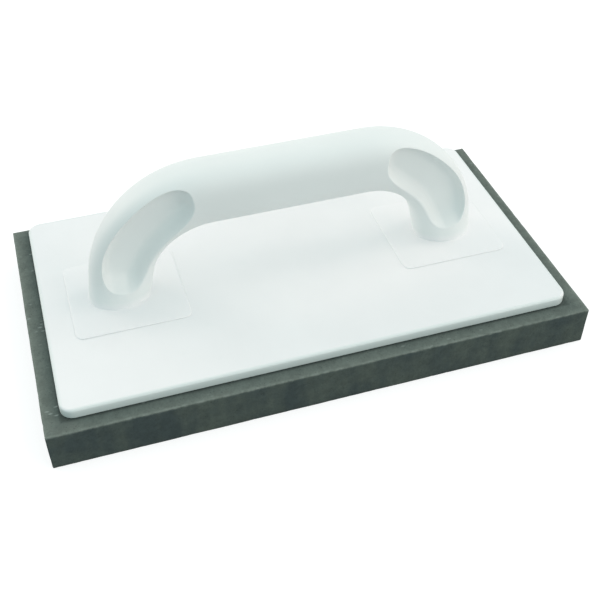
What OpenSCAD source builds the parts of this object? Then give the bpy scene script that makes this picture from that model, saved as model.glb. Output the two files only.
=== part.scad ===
// Plasterer's sponge float: a cellular rubber pad glued under a moulded plate,
// with a moulded D handle let into two pockets of the plate and screwed from below.
// Origin at the centre of the pad's working face, +X along the float, +Z up. Millimetres.

/* [Sponge pad] */
// Length of the sponge rubber pad
pad_l = 250; // [238:1:300]
// Width of the sponge rubber pad
pad_w = 140; // [136:1:180]
// Thickness of the sponge rubber pad
pad_t = 20; // [10:1:30]

/* [Glue line] */
// Thickness of the glue between the pad and the plate
glue_t = 0.5; // [0.3:0.1:1]
// How far the glue stays back from the plate's edge
glue_inset = 1.5; // [0.5:0.5:4]

/* [Base plate] */
// Length of the moulded plate
plate_l = 234; // [220:1:238]
// Width of the moulded plate
plate_w = 130; // [110:1:132]
// How far the plate and the handle sit behind the middle of the pad
plate_back = 2; // [0:0.5:3]
// Thickness of the moulded plate
plate_t = 4.5; // [4:0.1:6]
// Radius of the plate's corners in plan
plate_corner_r = 6; // [3:0.5:12]
// Radius of the rounding along the plate's upper edge
plate_edge_r = 1.2; // [0.5:0.1:2]

/* [Handle outline] */
// Outer span of the handle across its two feet
span_out = 191; // [188:1:200]
// Span of the hand opening between the feet
span_in = 133; // [128:1:138]
// Height of the handle above the plate
handle_h = 63.5; // [62:0.5:72]
// Height of the hand opening above the plate
opening_h = 36; // [34:1:40]
// Angle that the legs' outer edges lean inwards, in degrees
outer_angle = 8; // [6:1:13]
// Angle that the legs' inner edges lean inwards, in degrees
inner_angle = 12; // [10:1:17]
// Radius of the outer shoulders
shoulder_r = 56; // [50:1:58]
// Radius of the inner corners of the opening
opening_r = 28; // [25:1:32]

/* [Handle section] */
// Depth of the grip, front to back
grip_d = 26; // [22:0.5:30]
// Depth of each foot, front to back
foot_d = 23; // [19:0.5:25]
// Exponent of the grip's rounded section, 2 being an ellipse
grip_power = 2.7; // [2.2:0.1:3]
// Exponent of the foot's rounded section
foot_power = 2; // [2:0.1:2.6]

/* [Leg scoops] */
// Thickness left between the front and back scoops at their lower ends
scoop_web = 7; // [6:0.5:9]
// Thickness left between them at their upper ends
scoop_web_top = 11; // [8:0.5:12]
// Width of a scoop as a share of the leg's width
scoop_share = 0.76; // [0.6:0.02:0.8]
// Where a scoop starts, as a share of the way from the foot to the straight grip
scoop_from_share = 0.12; // [0.1:0.01:0.2]
// Where a scoop ends, as a share of that way
scoop_to_share = 0.9; // [0.8:0.01:0.94]

/* [Foot plates] */
// Distance from the middle to the inner edge of a foot plate
flange_in = 52; // [48:0.5:56]
// Distance from the middle to the outer edge of a foot plate
flange_out = 104.5; // [102:0.5:108]
// Width of a foot plate
flange_w = 50; // [40:1:60]
// Thickness of a foot plate
flange_t = 3; // [2.6:0.1:3.4]
// How far a foot plate stands above the plate
flange_proud = 0.5; // [0.4:0.1:1]
// Radius of a foot plate's corners
flange_r = 3.5; // [2:0.5:6]
// Clearance around a foot plate in its pocket
pocket_gap = 0.15; // [0.1:0.05:0.3]

/* [Screws] */
// Diameter of the screws
screw_d = 3.5; // [3:0.1:4]
// Length of the screws
screw_l = 16; // [12:1:17]
// Diameter of the countersunk screw heads
screw_head_d = 7; // [6.4:0.1:7.4]
// Distance between the two screws of a foot
screw_pitch = 14; // [11:0.5:15]
// Clearance of a screw in the plate, on the diameter
screw_gap = 0.4; // [0.2:0.1:0.6]
// Width of the slots of the cross recess
recess_w = 0.9; // [0.6:0.1:1.2]

/* [Hidden] */
$fn = 64;

plate_z = pad_t + glue_t;
plate_top = plate_z + plate_t;
flange_z = plate_top + flange_proud - flange_t;
foot_x = (span_out + span_in) / 4;
screw_x = [-foot_x - screw_pitch / 2, -foot_x + screw_pitch / 2,
           foot_x - screw_pitch / 2, foot_x + screw_pitch / 2];

// Screw head: a right-angled countersink, so its height is the step in radius
head_h = (screw_head_d - screw_d) / 2;
tip_h = screw_d;
recess_l = 0.6 * screw_head_d;
recess_h = 0.7 * head_h;
thread_gap = 0.1;
bore_over = 1;
sink_gap = 0.1;
eps = 0.01;

// Outlines of the D seen from the front: foot half span, lean, corner radius, height
outer = [span_out / 2, outer_angle, shoulder_r, handle_h];
inner = [span_in / 2, inner_angle, opening_r, opening_h];

// Points of half a ring: under the scoop, across it, over it; rings of the foot, scoop and bend
n_under = 7;
n_recess = 10;
n_cap = 6;
n_foot = 2;
n_scoop = 18;
n_bend = 2;

// Share of the leg over which the foot's section grows into the grip's
taper_share = 0.8;

// A scoop in the rings' own measures: along, 0 at the foot and 1 at the straight grip,
// and across, -1 at the opening and 1 outside
scoop_mid = (scoop_from_share + scoop_to_share) / 2;
scoop_half = (scoop_to_share - scoop_from_share) / 2;
scoop_off = 0.06;
scoop_turn = 0.28;
scoop_least = 0.12;
rim_power = 3;
end_power = 6;

// Where the scoop is deepest, between its inner rim at -1 and its outer rim at 1,
// and how steeply it falls to there from each
valley = -0.3;
inner_power = 1.5;
outer_power = 4;

// Middle of an outline's corner arc, and the length of its straight leg
function arc_x(o) = o[0] - (o[3] - o[2] + o[2] * sin(o[1])) * tan(o[1]) - o[2] * cos(o[1]);
function leg_run(o) = (o[3] - o[2] + o[2] * sin(o[1])) / cos(o[1]);
function arc_run(o) = o[2] * (90 - o[1]) * PI / 180;

// Where the straight grip begins, from the middle
grip_x = min(arc_x(outer), arc_x(inner));

// Point of an outline at a share of the way from the foot to the straight grip
function along(o, share) =
    let (run = share * (leg_run(o) + arc_run(o) + arc_x(o) - grip_x),
         turn = o[1] + (run - leg_run(o)) / o[2] * 180 / PI)
    run < leg_run(o) ? [o[0] - run * sin(o[1]), run * cos(o[1])] :
    turn < 90 ? [arc_x(o) + o[2] * cos(turn), o[3] - o[2] + o[2] * sin(turn)] :
    [arc_x(o) - (run - leg_run(o) - arc_run(o)), o[3]];

// Half depth of a rounded section at t, which runs from -1 at the opening to 1 outside
function swell(t, half, power) = half * pow(max(0, 1 - pow(abs(t), power)), 1 / power);
function ease(u) = let (c = min(1, max(0, u))) c * c * (3 - 2 * c);

// Fall of a scoop across its width, 0 at both rims and 1 in the valley; eased, so that
// its rims are rolled over and its floor is flat
function dish(e) =
    e < valley ? 1 - pow((valley - e) / (1 + valley), inner_power)
               : 1 - pow((e - valley) / (1 - valley), outer_power);

// Half a ring, as [t, half depth] from the opening round to the outside
function half_ring(share) =
    let (grown = ease(share / taper_share),
         half = (foot_d + (grip_d - foot_d) * grown) / 2,
         power = foot_power + (grip_power - foot_power) * grown,
         xi = min(1, max(-1, (share - scoop_mid) / scoop_half)),
         wide = scoop_share * pow(1 - pow(abs(xi), rim_power), 1 / rim_power),
         w = max(scoop_least, wide),
         sunk = 1 - pow(abs(xi), end_power),
         floor_y = (scoop_web + (scoop_web_top - scoop_web) * (1 + xi) / 2) / 2,
         middle = scoop_off + scoop_turn * pow(max(0, xi), 2),
         low = middle - w,
         high = middle + w)
    concat(
        [for (i = [0 : n_under - 1])
            let (t = -1 + (low + 1) * pow(i / n_under, 2)) [t, swell(t, half, power)]],
        [for (i = [0 : n_recess])
            let (e = -cos(180 * i / n_recess),
                 t = middle + w * e,
                 skin = swell(t, half, power))
            [t, skin - (skin - floor_y) * ease(sunk * dish(e))]],
        [for (i = [1 : n_cap])
            let (t = 1 - (1 - high) * pow(1 - i / n_cap, 2)) [t, swell(t, half, power)]]);

// A closed ring between the opening and the outside, front then back
function ring(share) =
    let (half = half_ring(share),
         last = len(half) - 1,
         p_in = along(inner, share),
         p_out = along(outer, share),
         mid = (p_in + p_out) / 2,
         arm = (p_out - p_in) / 2)
    [for (i = [0 : 2 * last - 1])
        let (k = i <= last ? i : 2 * last - i,
             p = mid + arm * half[k][0])
        [p[0], i <= last ? -half[k][1] : half[k][1], p[1]]];

right_rings = concat(
    [for (i = [0 : n_foot - 1]) ring(scoop_from_share * i / n_foot)],
    [for (i = [0 : n_scoop]) ring(scoop_mid - scoop_half * cos(180 * i / n_scoop))],
    [for (i = [1 : n_bend]) ring(scoop_to_share + (1 - scoop_to_share) * i / n_bend)]);
rings = concat(
    [for (r = right_rings) [for (p = r) [-p[0], p[1], p[2]]]],
    [for (i = [len(right_rings) - 1 : -1 : 0]) right_rings[i]]);

module rounded_rect(l, w, r) {
    square([l - 2 * r, w], center = true);
    square([l, w - 2 * r], center = true);
    for (x = [-1, 1], y = [-1, 1])
        translate([x * (l / 2 - r), y * (w / 2 - r)]) circle(r);
}

// Solid skin through the rings, closed at both feet
module loft(rings) {
    n = len(rings[0]);
    last = len(rings) - 1;
    polyhedron(
        points = [for (r = rings) for (p = r) p],
        faces = concat(
            [[for (j = [n - 1 : -1 : 0]) j]],
            [[for (j = [0 : n - 1]) last * n + j]],
            [for (i = [0 : last - 1], j = [0 : n - 1])
                [i * n + j, i * n + (j + 1) % n, (i + 1) * n + j]],
            [for (i = [0 : last - 1], j = [0 : n - 1])
                [i * n + (j + 1) % n, (i + 1) * n + (j + 1) % n, (i + 1) * n + j]]));
}

// Plan of both foot plates, grown by a clearance
module flange_plan(gap) {
    for (side = [-1, 1])
        translate([side * (flange_in + flange_out) / 2, 0])
            rounded_rect(flange_out - flange_in + 2 * gap, flange_w + 2 * gap, flange_r + gap);
}

module sponge_pad() {
    color("dimgray")
        translate([-pad_l / 2, -pad_w / 2, 0]) cube([pad_l, pad_w, pad_t]);
}

module glue_line() {
    color("tan")
        translate([0, plate_back, pad_t])
            linear_extrude(glue_t)
                rounded_rect(plate_l - 2 * glue_inset, plate_w - 2 * glue_inset,
                             max(1, plate_corner_r - glue_inset));
}

// Quarter disc that rolls an edge over, its centre at the origin
module quarter(r) {
    intersection() {
        circle(r);
        square(r);
    }
}

// Slab whose upper edge is rolled over by plate_edge_r
module rolled_slab() {
    r = plate_edge_r;
    in_l = plate_l - 2 * plate_corner_r;
    in_w = plate_w - 2 * plate_corner_r;
    linear_extrude(plate_t - r) rounded_rect(plate_l, plate_w, plate_corner_r);
    linear_extrude(plate_t) rounded_rect(plate_l - 2 * r, plate_w - 2 * r, plate_corner_r - r);
    for (k = [0 : 3]) {
        run = k % 2 == 0 ? in_l : in_w;
        across = k % 2 == 0 ? in_w : in_l;
        translate([0, 0, plate_t - r]) rotate([0, 0, 90 * k]) {
            translate([-run / 2, across / 2 + plate_corner_r - r, 0])
                rotate([90, 0, 90]) linear_extrude(run) quarter(r);
            translate([run / 2, across / 2, 0])
                rotate_extrude(angle = 90) translate([plate_corner_r - r, 0]) quarter(r);
        }
    }
}

module base_plate() {
    color("whitesmoke")
        translate([0, plate_back, plate_z])
            difference() {
                rolled_slab();
                translate([0, 0, flange_z - plate_z])
                    linear_extrude(plate_t) flange_plan(pocket_gap);
                for (x = screw_x)
                    translate([x, 0, -eps]) {
                        cylinder(plate_t, (screw_d + screw_gap) / 2, (screw_d + screw_gap) / 2);
                        cylinder(head_h + eps, screw_head_d / 2 + sink_gap, screw_d / 2 + sink_gap);
                    }
            }
}

module handle() {
    color("white")
        translate([0, plate_back, 0])
            difference() {
                union() {
                    translate([0, 0, plate_top]) loft(rings);
                    translate([0, 0, flange_z]) linear_extrude(flange_t) flange_plan(0);
                }
                for (x = screw_x)
                    translate([x, 0, plate_z])
                        cylinder(screw_l + bore_over, (screw_d + thread_gap) / 2,
                                 (screw_d + thread_gap) / 2);
            }
}

module screw(x) {
    color("silver")
        translate([x, plate_back, plate_z])
            difference() {
                union() {
                    cylinder(head_h, screw_head_d / 2, screw_d / 2);
                    cylinder(screw_l - tip_h, screw_d / 2, screw_d / 2);
                    translate([0, 0, screw_l - tip_h]) cylinder(tip_h, screw_d / 2, screw_d / 8);
                }
                for (turn = [0, 90])
                    rotate([0, 0, turn])
                        translate([-recess_l / 2, -recess_w / 2, -eps])
                            cube([recess_l, recess_w, recess_h + eps]);
            }
}

sponge_pad();
glue_line();
base_plate();
handle();
screw(screw_x[0]);  // screw_left_outer
screw(screw_x[1]);  // screw_left_inner
screw(screw_x[2]);  // screw_right_inner
screw(screw_x[3]);  // screw_right_outer
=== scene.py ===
import math

import bmesh
import bpy
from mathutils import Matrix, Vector, noise


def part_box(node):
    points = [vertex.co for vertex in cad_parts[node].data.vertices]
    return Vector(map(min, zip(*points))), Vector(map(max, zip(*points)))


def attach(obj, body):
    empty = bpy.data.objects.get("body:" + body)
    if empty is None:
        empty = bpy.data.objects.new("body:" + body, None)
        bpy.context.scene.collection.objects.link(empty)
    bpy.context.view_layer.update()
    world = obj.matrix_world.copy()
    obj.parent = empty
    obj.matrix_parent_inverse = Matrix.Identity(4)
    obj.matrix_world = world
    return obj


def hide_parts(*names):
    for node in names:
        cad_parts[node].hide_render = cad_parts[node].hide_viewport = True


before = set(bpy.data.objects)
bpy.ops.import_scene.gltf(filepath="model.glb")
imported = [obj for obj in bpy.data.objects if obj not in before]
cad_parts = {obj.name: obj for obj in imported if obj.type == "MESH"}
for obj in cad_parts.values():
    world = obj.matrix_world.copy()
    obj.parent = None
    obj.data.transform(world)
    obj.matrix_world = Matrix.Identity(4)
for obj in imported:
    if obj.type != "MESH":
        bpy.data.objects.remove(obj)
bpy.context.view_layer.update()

mm = 0.001


class Wire:  # an output socket that can be used in sums
    def __init__(self, nodes, socket):
        self.nodes = nodes
        self.socket = socket

    def sum(self, operation, first, second):
        return self.nodes.node("ShaderNodeMath", {"operation": operation}, {0: first, 1: second})

    def __add__(self, other):
        return self.sum("ADD", self, other)

    def __radd__(self, other):
        return self.sum("ADD", other, self)

    def __sub__(self, other):
        return self.sum("SUBTRACT", self, other)

    def __rsub__(self, other):
        return self.sum("SUBTRACT", other, self)

    def __mul__(self, other):
        return self.sum("MULTIPLY", self, other)

    def __rmul__(self, other):
        return self.sum("MULTIPLY", other, self)


class Nodes:  # the nodes of a material or of the sky
    def __init__(self, tree):
        self.tree = tree

    def node(self, kind, settings=None, sockets=None, out=0):
        made = self.tree.nodes.new(kind)
        for key, value in (settings or {}).items():
            setattr(made, key, value)
        for key, value in (sockets or {}).items():
            self.feed(made.inputs[key], value)
        return Wire(self, made.outputs[out])

    def feed(self, socket, value):
        if isinstance(value, Wire):
            self.tree.links.new(value.socket, socket)
        elif isinstance(value, tuple) and socket.type == "RGBA":
            socket.default_value = (*value, 1)
        else:
            socket.default_value = value

    def larger(self, first, second):
        return self.node("ShaderNodeMath", {"operation": "MAXIMUM"}, {0: first, 1: second})

    def smaller(self, first, second):
        return self.node("ShaderNodeMath", {"operation": "MINIMUM"}, {0: first, 1: second})

    def size(self, value):  # the value without its sign
        return self.node("ShaderNodeMath", {"operation": "ABSOLUTE"}, {0: value})

    def range(self, value, low, high, newLow=0.0, newHigh=1.0):
        return self.node("ShaderNodeMapRange", {"clamp": True},
                         {"Value": value, "From Min": low, "From Max": high,
                          "To Min": newLow, "To Max": newHigh})

    def fade(self, value, span, share=1.0):  # the share up to the span's start, then down to 0 at its end
        return self.range(value, *span, share, 0.0)

    def blend(self, share, first, second):
        return self.node("ShaderNodeMix", {"data_type": "RGBA"}, {0: share, 6: first, 7: second}, 2)

    def darker(self, colour, share):
        return self.node("ShaderNodeMix", {"data_type": "RGBA", "blend_type": "MULTIPLY"},
                         {0: 1.0, 6: colour, 7: (share,) * 3}, 2)

    def place(self):  # where a point is on the object, in metres
        return self.node("ShaderNodeTexCoord", out="Object")

    def axis(self, place, name):
        return self.node("ShaderNodeSeparateXYZ", None, {0: place}, name)

    def inward(self, place, low, high):  # how far inside the sides of a box a point is, seen from above
        middle = (low + high) / 2
        x, y = (self.axis(place, name) for name in "XY")
        return self.smaller(high.x - middle.x - self.size(x - middle.x),
                            high.y - middle.y - self.size(y - middle.y))

    def stretched(self, place, scale):
        return self.node("ShaderNodeMapping", None, {"Vector": place, "Scale": scale})

    def cloud(self, place, scale, detail=2, rough=0.5):
        return self.node("ShaderNodeTexNoise", None,
                         {"Vector": place, "Scale": scale, "Detail": detail, "Roughness": rough})

    def cells(self, place, scale):
        return self.node("ShaderNodeTexVoronoi", None, {"Vector": place, "Scale": scale}, "Distance")

    def shaken(self, place, scale, distance):  # the place moved about at random by up to a distance
        shake = self.node("ShaderNodeTexNoise", None, {"Vector": place, "Scale": scale}, "Color")
        shake = self.node("ShaderNodeVectorMath", {"operation": "SCALE"}, {0: shake, "Scale": distance})
        return self.node("ShaderNodeVectorMath", {"operation": "ADD"}, {0: place, 1: shake})

    def bump(self, height, distance, strength=1.0, under=None):
        sockets = {"Height": height, "Distance": distance, "Strength": strength}
        if under:
            sockets["Normal"] = under
        return self.node("ShaderNodeBump", None, sockets)


class Finish(Nodes):  # a material with its Principled shader
    def __init__(self, name):
        self.material = bpy.data.materials.new(name)
        self.material.use_nodes = True
        super().__init__(self.material.node_tree)
        self.shader = self.tree.nodes["Principled BSDF"]

    def set(self, **values):
        for key, value in values.items():
            self.feed(self.shader.inputs[key.replace("_", " ")], value)


def giveFinish(piece, finish):
    piece.data.materials.clear()
    piece.data.materials.append(finish.material)


def newPiece(name, mesh, slot, finish, *replaced):
    piece = bpy.data.objects.new(name, mesh)
    bpy.context.scene.collection.objects.link(piece)
    giveFinish(piece, finish)
    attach(piece, "root")
    if replaced:
        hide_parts(*replaced)
    return piece


# white styrene moulding, a little mottled, with soil in its pits; a plate's side carries painted shade,
# darker towards its foot

plasticLook = {
    # the handle's colour is a darker, more cyan copy of the plate's white: a painted shade over the whole
    # handle, while its foot plates keep the plate's white
    "handle": (0.818, 0.856, 0.842), "plate": (0.883, 0.890, 0.890), "footShadeFade": 4 * mm,
    "mottle": 0.97, "mottleSize": 22, "mottleSpan": (0.35, 0.65),
    "soilColour": (0.45, 0.47, 0.44), "soilSize": 60, "soilSpan": (0.58, 0.75), "soilShare": 0.35,
    "pitSize": 210, "pitSpan": (0.0, 0.05),
    "roughness": 0.5, "roughnessSpread": 0.10, "wearSize": 90, "specular": 0.4,
    "grainSize": 1500, "grainDepth": 0.012 * mm, "grainStrength": 0.6,
    "waveSize": 38, "waveDepth": 0.25 * mm, "waveStrength": 0.5,
    "sideShadeTop": (0.75, 0.81, 0.79), "sideShadeLow": (0.58, 0.65, 0.63),
    "raggedSize": 120, "ragged": 1.0 * mm,  # how far the edge of the painted side shade strays up and down
    "rollLow": 1.1 * mm, "rollHigh": 0.15 * mm, "rollReach": (0.5 * mm, 1.8 * mm),
}


def plasticFinish(name, look, colour, foot=None, shadedSides=None):
    finish = Finish(name)
    place = finish.place()
    if foot:  # the height up to which the handle is as pale as the plate; above it the handle's darker, more cyan white is a painted shade
        above = finish.range(finish.axis(place, "Z"), foot, foot + look["footShadeFade"])
        colour = finish.blend(above, look["plate"], colour)
    mottle = finish.range(finish.cloud(place, look["mottleSize"], 3), *look["mottleSpan"])
    colour = finish.blend(mottle, colour, finish.darker(colour, look["mottle"]))
    if shadedSides:  # the box of a plate whose sides and rolled edge get painted shade, darker towards the plate's foot
        low, high = shadedSides
        stray = look["ragged"] * (finish.cloud(place, look["raggedSize"], 3) - 0.5)
        height = finish.axis(place, "Z") + stray
        rollLow = high.z - look["rollLow"]
        # painted shade on the plate's side, darkest at its foot beside the pad
        side = finish.blend(finish.range(height, low.z, rollLow), look["sideShadeLow"], look["sideShadeTop"])
        up = finish.range(height, rollLow, high.z - look["rollHigh"])
        up = finish.smaller(up, finish.range(finish.inward(place, low, high), *look["rollReach"]))
        colour = finish.blend(up, side, colour)
    pits = finish.fade(finish.cells(place, look["pitSize"]), look["pitSpan"])
    soil = finish.cloud(place, look["soilSize"], 4, 0.7)
    soil = finish.range(soil, *look["soilSpan"], 0.0, look["soilShare"])
    colour = finish.blend(pits * soil, colour, look["soilColour"])
    wear = finish.cloud(place, look["wearSize"], 4, 0.6) - 0.5
    wave = finish.bump(finish.cloud(place, look["waveSize"], 1), look["waveDepth"], look["waveStrength"])
    grain = finish.cloud(place, look["grainSize"], 2)
    grain = finish.bump(grain, look["grainDepth"], look["grainStrength"], wave)
    finish.set(Base_Color=colour, Roughness=look["roughness"] + look["roughnessSpread"] * wear, Normal=grain)
    finish.set(IOR=1.5, Specular_IOR_Level=look["specular"])
    return finish


# grey-green sponge rubber: a sawn top that pales towards its arris, smoother and darker sides

rubberLook = {
    "side": (0.054, 0.074, 0.073), "sidePale": (0.086, 0.109, 0.094), "sideStart": (0.3 * mm, 0.9 * mm),
    "topNear": (0.100, 0.127, 0.116), "topFar": (0.168, 0.197, 0.172),
    "topReach": 9 * mm, "topStray": 6 * mm,
    "creaseShadeSpan": (0.2 * mm, 1.2 * mm), "creaseShadeShare": 0.36,  # painted shade: a dark line in the crease beside the plate
    "mottleSize": 45, "streaks": (120, 120, 22), "streakShare": 0.8, "mottleSpan": (0.34, 0.66),
    "speckleSize": 230, "speckleSpan": (0.4, 0.62), "specklePale": 1.07, "speckleDark": 0.88,
    "arris": (0.27, 0.31, 0.28), "arrisSpan": (0.3 * mm, 1.4 * mm), "arrisShare": 0.55,
    "brokenSize": 260, "brokenSpan": (0.42, 0.62),
    "shakeSize": 400.0, "shake": 0.8 * mm,
    "poreAndCreaseShade": (0.022, 0.028, 0.025), "poreSize": 850, "poreSpan": (0.12, 0.38), "poreShare": 0.35,
    "poreGroupSize": 300, "poreGroupSpan": (0.42, 0.62),
    "holeSize": 240, "holeSpan": (0.05, 0.13), "holeShare": 0.6, "holeDepth": 1.4,
    "holeGroupSize": 70, "holeGroupSpan": (0.56, 0.64),
    "fleck": (0.26, 0.30, 0.28), "fleckSizes": (190, 400, 400), "fleckSpan": (0.1, 0.24),
    "fleckShare": 0.8, "fleckGroupSize": 60, "fleckGroupSpan": (0.52, 0.62),
    "fleckDepth": (0.3 * mm, 1.5 * mm), "fleckLow": 0.06,  # few flecks below the arris
    "cellDepth": 0.16 * mm, "cellStrength": 0.7, "roughness": 0.93, "specular": 0.25,
}


def rubberFinish(name, look):
    finish = Finish(name)
    place = finish.place()
    low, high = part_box("sponge_pad")
    inside = finish.inward(place, low, high)
    beside = 0.0 - finish.inward(place, *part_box("base_plate"))  # from the plate's edge
    depth = high.z - finish.axis(place, "Z")
    shaken = finish.shaken(place, look["shakeSize"], look["shake"])

    patches = finish.cloud(place, look["mottleSize"], 5, 0.65)
    streaks = finish.cloud(finish.stretched(place, look["streaks"]), 1.0, 3)
    mottle = finish.range(patches + look["streakShare"] * (streaks - 0.5), *look["mottleSpan"])
    side = finish.blend(mottle, look["side"], look["sidePale"])
    reach = finish.range(beside + look["topStray"] * (patches - 0.5), 0.0, look["topReach"])
    top = finish.blend(reach, look["topNear"], look["topFar"])
    # painted shade: the crease beside the plate darkened with the pore colour
    top = finish.blend(finish.fade(beside, look["creaseShadeSpan"], look["creaseShadeShare"]), top, look["poreAndCreaseShade"])
    colour = finish.blend(finish.range(depth, *look["sideStart"]), top, side)
    speckle = finish.range(finish.cloud(place, look["speckleSize"], 4, 0.7), *look["speckleSpan"])
    colour = finish.blend(speckle, finish.darker(colour, look["specklePale"]),
                          finish.darker(colour, look["speckleDark"]))

    cells = finish.cells(shaken, look["poreSize"])
    pores = finish.fade(cells, look["poreSpan"], look["poreShare"])
    pores = pores * finish.range(finish.cloud(place, look["poreGroupSize"], 3), *look["poreGroupSpan"])
    colour = finish.blend(pores, colour, look["poreAndCreaseShade"])
    holes = finish.fade(finish.cells(shaken, look["holeSize"]), look["holeSpan"])
    holes = holes * finish.range(finish.cloud(place, look["holeGroupSize"], 2), *look["holeGroupSpan"])
    colour = finish.blend(look["holeShare"] * holes, colour, look["poreAndCreaseShade"])
    flecks = finish.cells(finish.stretched(shaken, look["fleckSizes"]), 1.0)
    flecks = finish.fade(flecks, look["fleckSpan"], look["fleckShare"])
    flecks = flecks * finish.range(finish.cloud(place, look["fleckGroupSize"], 2), *look["fleckGroupSpan"])
    flecks = flecks * finish.range(depth, *look["fleckDepth"], 1.0, look["fleckLow"])
    colour = finish.blend(flecks, colour, look["fleck"])
    arris = finish.fade(finish.larger(inside, depth), look["arrisSpan"], look["arrisShare"])
    arris = arris * finish.range(finish.cloud(place, look["brokenSize"], 4, 0.7), *look["brokenSpan"])
    colour = finish.blend(arris, colour, look["arris"])

    bump = finish.bump(cells - look["holeDepth"] * holes, look["cellDepth"], look["cellStrength"])
    finish.set(Base_Color=colour, Roughness=look["roughness"], Normal=bump)
    finish.set(Specular_IOR_Level=look["specular"])
    return finish


glueLook = {
    "dark": (0.30, 0.25, 0.16), "pale": (0.42, 0.36, 0.25), "filmSize": 160, "filmSpan": (0.3, 0.7),
    "filmDepth": 0.1 * mm, "roughness": 0.35, "roughnessSpread": 0.3,
}


def glueFinish(name, look):
    finish = Finish(name)
    film = finish.cloud(finish.place(), look["filmSize"], 4, 0.6)
    finish.set(Base_Color=finish.blend(finish.range(film, *look["filmSpan"]), look["dark"], look["pale"]),
               Roughness=look["roughness"] + look["roughnessSpread"] * film,
               Normal=finish.bump(film, look["filmDepth"]))
    return finish


zincLook = {
    "dull": (0.62, 0.62, 0.60), "bright": (0.74, 0.74, 0.70), "patchSize": 900,
    "brush": (400, 400, 4000), "brushDepth": 0.02 * mm, "brushStrength": 0.5,
    "roughness": 0.28, "roughnessSpread": 0.2,
}


def zincFinish(name, look):
    finish = Finish(name)
    place = finish.place()
    brushed = finish.cloud(finish.stretched(place, look["brush"]), 1.0, 3)
    patches = finish.cloud(place, look["patchSize"], 2)
    finish.set(Base_Color=finish.blend(patches, look["dull"], look["bright"]),
               Roughness=look["roughness"] + look["roughnessSpread"] * brushed,
               Normal=finish.bump(brushed, look["brushDepth"], look["brushStrength"]))
    finish.set(Metallic=1.0)
    return finish


plateFinish = plasticFinish("whitePlate", plasticLook, plasticLook["plate"], shadedSides=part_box("base_plate"))
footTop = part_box("base_plate")[1].z + 0.7 * mm  # just over the handle's foot plates
handleFinish = plasticFinish("whiteHandle", plasticLook, plasticLook["handle"], foot=footTop)
padFinish = rubberFinish("spongeRubber", rubberLook)
lineFinish = glueFinish("driedGlue", glueLook)
screwFinish = zincFinish("zincedSteel", zincLook)
print("finishes made")


# the handle: a D grip lofted through rings, with a spoon-shaped scoop front and back on each leg

handleForm = {
    "spanOut": 191, "spanIn": 133, "opening": 36, "angleOut": 8, "angleIn": 12,
    "shoulder": 56, "openingCorner": 28,
    "gripDepth": 26, "footDepth": 23, "gripPower": 2.7, "footPower": 2, "taper": 0.8,
    "scoopWeb": 7, "scoopWebTop": 11, "scoopShare": 0.76, "scoopFrom": 0.12, "scoopTo": 0.9,
    "scoopOff": 0.06, "scoopTurn": 0.28, "scoopLeast": 0.12, "rimPower": 3, "endPower": 6, "endPowerTop": 9,
    "valley": -0.3, "innerPower": 1.5, "outerPower": 7,
    "footPlateIn": 52, "footPlateProud": 0.5, "footPlateCorner": 3.5,
    "footPlateEdge": 0.45, "footPlateFill": 0.13,
    "smoothRounds": 2, "smoothShare": 0.35, "sharpAngle": 50,
    "steps": {"under": 30, "recess": 56, "cap": 24, "foot": 10, "scoop": 150, "bend": 12, "grip": 12},
}

handleLow, handleHigh = (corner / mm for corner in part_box("handle"))
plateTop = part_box("base_plate")[1].z / mm
handleForm["height"] = handleHigh.z - plateTop
handleForm["back"] = (handleLow.y + handleHigh.y) / 2  # the handle sits behind the pad's middle


class Outline:  # a leg's straight edge, then an arc, then level across the top
    def __init__(self, span, angle, radius, height):
        self.foot, self.lean, self.radius, self.height = span / 2, math.radians(angle), radius, height
        rise = height - radius + radius * math.sin(self.lean)
        self.leg = rise / math.cos(self.lean)
        self.arc = radius * (math.pi / 2 - self.lean)
        self.arcX = self.foot - rise * math.tan(self.lean) - radius * math.cos(self.lean)

    def along(self, share, gripX):
        run = share * (self.leg + self.arc + self.arcX - gripX)
        turn = self.lean + (run - self.leg) / self.radius
        if run < self.leg:
            return Vector((self.foot - run * math.sin(self.lean), run * math.cos(self.lean)))
        if turn < math.pi / 2:
            return Vector((self.arcX + self.radius * math.cos(turn),
                           self.height - self.radius + self.radius * math.sin(turn)))
        return Vector((self.arcX - (run - self.leg - self.arc), self.height))


def ease(u):
    u = min(1, max(0, u))
    return u * u * (3 - 2 * u)


def swell(t, half, power):
    return half * max(0, 1 - abs(t) ** power) ** (1 / power)


def dish(e, form):  # how deep a scoop is across its width, 0 at the rims and 1 in the valley
    valley = form["valley"]
    if e < valley:
        return 1 - ((valley - e) / (1 + valley)) ** form["innerPower"]
    return 1 - ((e - valley) / (1 - valley)) ** form["outerPower"]


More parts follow.
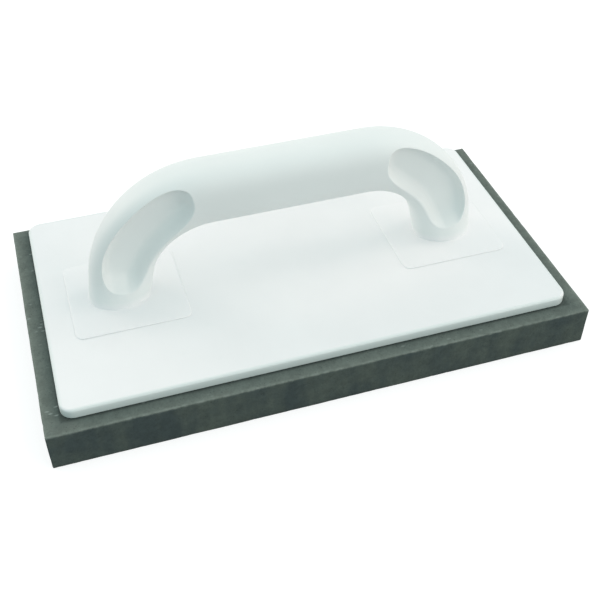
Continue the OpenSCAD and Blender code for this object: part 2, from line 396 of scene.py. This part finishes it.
def halfRing(share, form):
    grown = ease(share / form["taper"])
    half = (form["footDepth"] + (form["gripDepth"] - form["footDepth"]) * grown) / 2
    power = form["footPower"] + (form["gripPower"] - form["footPower"]) * grown
    mid = (form["scoopFrom"] + form["scoopTo"]) / 2
    xi = min(1, max(-1, (share - mid) / (form["scoopTo"] - mid)))
    wide = form["scoopShare"] * (1 - abs(xi) ** form["rimPower"]) ** (1 / form["rimPower"])
    w = max(form["scoopLeast"], wide)
    sunk = 1 - abs(xi) ** form["endPowerTop" if xi > 0 else "endPower"]
    floor = (form["scoopWeb"] + (form["scoopWebTop"] - form["scoopWeb"]) * (1 + xi) / 2) / 2
    middle = form["scoopOff"] + form["scoopTurn"] * max(0, xi) ** 2
    low, high = middle - w, middle + w
    under, recess, cap = (form["steps"][name] for name in ("under", "recess", "cap"))
    places = [-1 + (low + 1) * (1 - math.cos(math.pi * i / under)) / 2 for i in range(under)]
    points = [(t, swell(t, half, power)) for t in places]
    for i in range(recess + 1):
        e = -math.cos(math.pi * i / recess)
        t = middle + w * e
        skin = swell(t, half, power)
        points.append((t, skin - (skin - floor) * ease(sunk * dish(e, form))))
    places = [1 - (1 - high) * (1 + math.cos(math.pi * i / cap)) / 2 for i in range(1, cap + 1)]
    return points + [(t, swell(t, half, power)) for t in places]


def handleRings(form):
    outer = Outline(form["spanOut"], form["angleOut"], form["shoulder"], form["height"])
    inner = Outline(form["spanIn"], form["angleIn"], form["openingCorner"], form["opening"])
    gripX = min(outer.arcX, inner.arcX)
    start, end = form["scoopFrom"], form["scoopTo"]
    foot, scoop, bend, grip = (form["steps"][name] for name in ("foot", "scoop", "bend", "grip"))
    shares = [start * i / foot for i in range(foot)]
    shares += [start + (end - start) * (1 - math.cos(math.pi * i / scoop)) / 2 for i in range(scoop + 1)]
    shares += [end + (1 - end) * i / bend for i in range(1, bend + 1)]
    rings = []
    for share in shares:
        half = halfRing(share, form)
        pointIn, pointOut = inner.along(share, gripX), outer.along(share, gripX)
        mid, arm = (pointIn + pointOut) / 2, (pointOut - pointIn) / 2
        front = [(mid + arm * t, depth) for t, depth in half]
        loop = [(p.x, -depth, p.y) for p, depth in front]
        rings.append(loop + [(p.x, depth, p.y) for p, depth in front[-2:0:-1]])
    level = rings[-1]
    across = [[(x * i / grip, y, z) for x, y, z in level] for i in range(grip)]
    far = [[(-x, y, z) for x, y, z in loop] for loop in rings + across[:0:-1]]
    return far + across + rings[::-1]


def loft(bm, loops):  # a closed skin over loops of points in millimetres
    rows = [[bm.verts.new(Vector(point) * mm) for point in loop] for loop in loops]
    for near, far in zip(rows, rows[1:]):
        for i in range(len(near)):
            j = (i + 1) % len(near)
            bm.faces.new((near[i], near[j], far[j], far[i]))
    for row in (rows[0], rows[-1]):
        bm.faces.new(row)
    return rows


def roundedPlan(low, high, radius, steps=8):
    points = []
    corners = ((high[0], high[1]), (low[0], high[1]), (low[0], low[1]), (high[0], low[1]))
    for k, (x, y) in enumerate(corners):
        cx = x - radius if x == high[0] else x + radius
        cy = y - radius if y == high[1] else y + radius
        for i in range(steps + 1):
            turn = math.pi / 2 * (k + i / steps)
            points.append((cx + radius * math.cos(turn), cy + radius * math.sin(turn)))
    return points


def slab(bm, low, high, radius, bottom, top, soften):
    rims = [(0, bottom), (0, top - soften)]
    rims += [(soften * (1 - math.cos(a)), top - soften + soften * math.sin(a))
             for a in (math.pi / 6, math.pi / 3, math.pi / 2)]
    loops = []
    for inset, z in rims:
        plan = roundedPlan([side + inset for side in low], [side - inset for side in high], radius - inset)
        loops.append([(x, y, z) for x, y in plan])
    loft(bm, loops)


def meshFrom(bm, name):
    bmesh.ops.recalc_face_normals(bm, faces=bm.faces)
    for face in bm.faces:
        face.smooth = True
    mesh = bpy.data.meshes.new(name)
    bm.to_mesh(mesh)
    bm.free()
    return mesh


def makeHandle(form):
    bm = bmesh.new()
    back = form["back"]
    rows = loft(bm, [[(x, y + back, z + plateTop) for x, y, z in ring] for ring in handleRings(form)])
    movable = [vert for row in rows[1:-1] for vert in row]
    for _ in range(form["smoothRounds"]):  # takes the knife edge off the rims
        bmesh.ops.smooth_vert(bm, verts=movable, factor=form["smoothShare"],
                              use_axis_x=True, use_axis_y=True, use_axis_z=True)
    for side in (-1, 1):
        xs = sorted((side * form["footPlateIn"], side * handleHigh.x))
        fill = form["footPlateFill"]  # the plates bed into their pockets, open along the front only
        slab(bm, (xs[0] - fill, handleLow.y), (xs[1] + fill, handleHigh.y + fill), form["footPlateCorner"],
             handleLow.z, plateTop + form["footPlateProud"], form["footPlateEdge"])
    mesh = meshFrom(bm, "handleMoulding")
    mesh.set_sharp_from_angle(angle=math.radians(form["sharpAngle"]))
    newPiece("handle_moulding", mesh, "handle_plastic", handleFinish, "handle")


makeHandle(handleForm)
print("handle lofted")


# the pad: a sawn block of sponge rubber

padForm = {
    "step": 2.5, "edgeRound": 0.5, "fill": 1.0,
    "ripple": 0.18, "rippleSize": 14, "nick": 0.25, "nickSize": 3, "nickFrom": 0.2,
}


def makePad(form):
    low, high = (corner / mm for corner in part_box("sponge_pad"))
    bm = bmesh.new()
    size = high - low
    counts = [max(2, round(side / form["step"])) for side in size]
    places = []
    for axis in range(3):
        inside = [low[axis] + size[axis] * i / counts[axis] for i in range(1, counts[axis])]
        places.append([low[axis], low[axis] + form["edgeRound"], *inside,
                       high[axis] - form["edgeRound"], high[axis]])
    verts = {}

    def corner(i, j, k):
        if (i, j, k) not in verts:
            p = Vector((places[0][i], places[1][j], places[2][k]))
            core = Vector([min(max(p[a], low[a] + form["edgeRound"]), high[a] - form["edgeRound"])
                           for a in range(3)])
            out = p - core
            if out.length > 0:
                p = core + out.normalized() * form["edgeRound"]
            verts[i, j, k] = bm.verts.new(p * mm)
        return verts[i, j, k]

    nx, ny, nz = (len(p) - 1 for p in places)
    for i in range(nx):
        for j in range(ny):
            bm.faces.new([corner(a, b, nz) for a, b in ((i, j), (i + 1, j), (i + 1, j + 1), (i, j + 1))])
            bm.faces.new([corner(a, b, 0) for a, b in ((i, j), (i, j + 1), (i + 1, j + 1), (i + 1, j))])
        for k in range(nz):
            bm.faces.new([corner(a, 0, c) for a, c in ((i, k), (i + 1, k), (i + 1, k + 1), (i, k + 1))])
            bm.faces.new([corner(a, ny, c) for a, c in ((i, k), (i, k + 1), (i + 1, k + 1), (i + 1, k))])
    for j in range(ny):
        for k in range(nz):
            bm.faces.new([corner(0, b, c) for b, c in ((j, k), (j, k + 1), (j + 1, k + 1), (j + 1, k))])
            bm.faces.new([corner(nx, b, c) for b, c in ((j, k), (j + 1, k), (j + 1, k + 1), (j, k + 1))])
    bmesh.ops.recalc_face_normals(bm, faces=bm.faces)
    bm.normal_update()
    for vert in bm.verts:
        p = vert.co / mm
        depth = form["ripple"] * (0.5 + 0.5 * noise.noise(p / form["rippleSize"]))
        depth += form["nick"] * max(0, noise.noise(p / form["nickSize"]) - form["nickFrom"])
        vert.co -= vert.normal * depth * mm
    piece = newPiece("sponge_block", meshFrom(bm, "spongeBlock"), "sponge_rubber", padFinish, "sponge_pad")


makePad(padForm)
print("pad made")


# the CAD pieces that stay

giveFinish(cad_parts["base_plate"], plateFinish)
giveFinish(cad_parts["glue_line"], lineFinish)
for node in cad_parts:
    if node.startswith("screw_"):
        giveFinish(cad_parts[node], screwFinish)
print("plate, glue line and screws finished")


# floor, light and camera; each direction is a compass angle from the front and a height angle

studio = {
    "floorSize": 6, "floorRoughness": 0.9,
    "floorBounce": 0.35, "floorToEye": 0.45, "floorLift": 0.72,  # its grey for bounced light, and as seen
    "skyStrength": 0.742, "skyColour": (0.80, 0.98, 1.0), "lampColour": (1.0, 0.80, 0.74),
    "lampDistance": 2.5, "lampSize": 1.6,
    "lamps": {  # direction and power
        "rightLight": (90, 50, 16.9),
        "frontLight": (45, 20, 14.7),
        "backLight": (180, 20, 4.2),
        "backLeftLight": (225, 20, 24.1),
    },
    "camera": (-17.46, 42.91), "cameraDistance": 0.47867, "cameraTarget": (0.005546, -0.00203, 0.0),
    "cameraRoll": -0.198, "cameraLens": 57.41,
}


def towards(compass, height):
    turn, tilt = math.radians(compass), math.radians(height)
    return Vector((math.sin(turn) * math.cos(tilt), -math.cos(turn) * math.cos(tilt), math.sin(tilt)))


def hang(name, data, target, compass, height, distance):  # a lamp or camera that looks at the target
    away = towards(compass, height)
    holder = bpy.data.objects.new(name, data)
    holder.location = Vector(target) + away * distance
    holder.rotation_euler = away.to_track_quat("Z", "Y").to_euler()
    bpy.context.scene.collection.objects.link(holder)
    return holder


def seenStraight(nodes):  # 1 where a ray comes from the camera, or by gloss or glass
    kinds = ("Is Camera Ray", "Is Glossy Ray", "Is Transmission Ray")
    camera, gloss, glass = (nodes.node("ShaderNodeLightPath", out=kind) for kind in kinds)
    return nodes.range(camera + gloss + glass, 0.0, 1.0)


def makeFloor(look):
    bpy.ops.mesh.primitive_plane_add(size=look["floorSize"])
    floor = bpy.context.object
    floor.name = "floor"
    finish = Finish("paleFloor")
    seen = seenStraight(finish)
    bounce, toEye, lift = ((look[name],) * 3 for name in ("floorBounce", "floorToEye", "floorLift"))
    finish.set(Base_Color=finish.blend(seen, bounce, toEye), Roughness=look["floorRoughness"],
               Specular_IOR_Level=0.0,
               Emission_Color=finish.blend(seen, (0.0, 0.0, 0.0), lift), Emission_Strength=1.0)
    giveFinish(floor, finish)


def makeSky(look):
    world = bpy.data.worlds.new("paleSky")
    world.use_nodes = True
    bpy.context.scene.world = world
    sky = Nodes(world.node_tree)
    light = sky.node("ShaderNodeBackground", None,
                     {"Color": look["skyColour"], "Strength": look["skyStrength"]})
    white = sky.node("ShaderNodeBackground", None, {"Color": (1.0, 1.0, 1.0), "Strength": 1.0})
    both = sky.node("ShaderNodeMixShader", None, {0: seenStraight(sky), 1: light, 2: white})
    sky.feed(sky.tree.nodes["World Output"].inputs["Surface"], both)


def makeLamps(look):
    for name, (compass, height, power) in look["lamps"].items():
        lamp = bpy.data.lights.new(name, "AREA")
        lamp.size = look["lampSize"]
        lamp.energy = power
        lamp.color = look["lampColour"]
        hang(name, lamp, (0, 0, 0), compass, height, look["lampDistance"])


def makeCamera(look):
    data = bpy.data.cameras.new("camera")
    data.lens = look["cameraLens"]
    camera = hang("camera", data, look["cameraTarget"], *look["camera"], look["cameraDistance"])
    camera.rotation_euler.rotate_axis("Z", math.radians(look["cameraRoll"]))
    bpy.context.scene.camera = camera


makeFloor(studio)
makeSky(studio)
makeLamps(studio)
makeCamera(studio)
bpy.context.scene.view_settings.view_transform = "Standard"
print("studio and camera set")
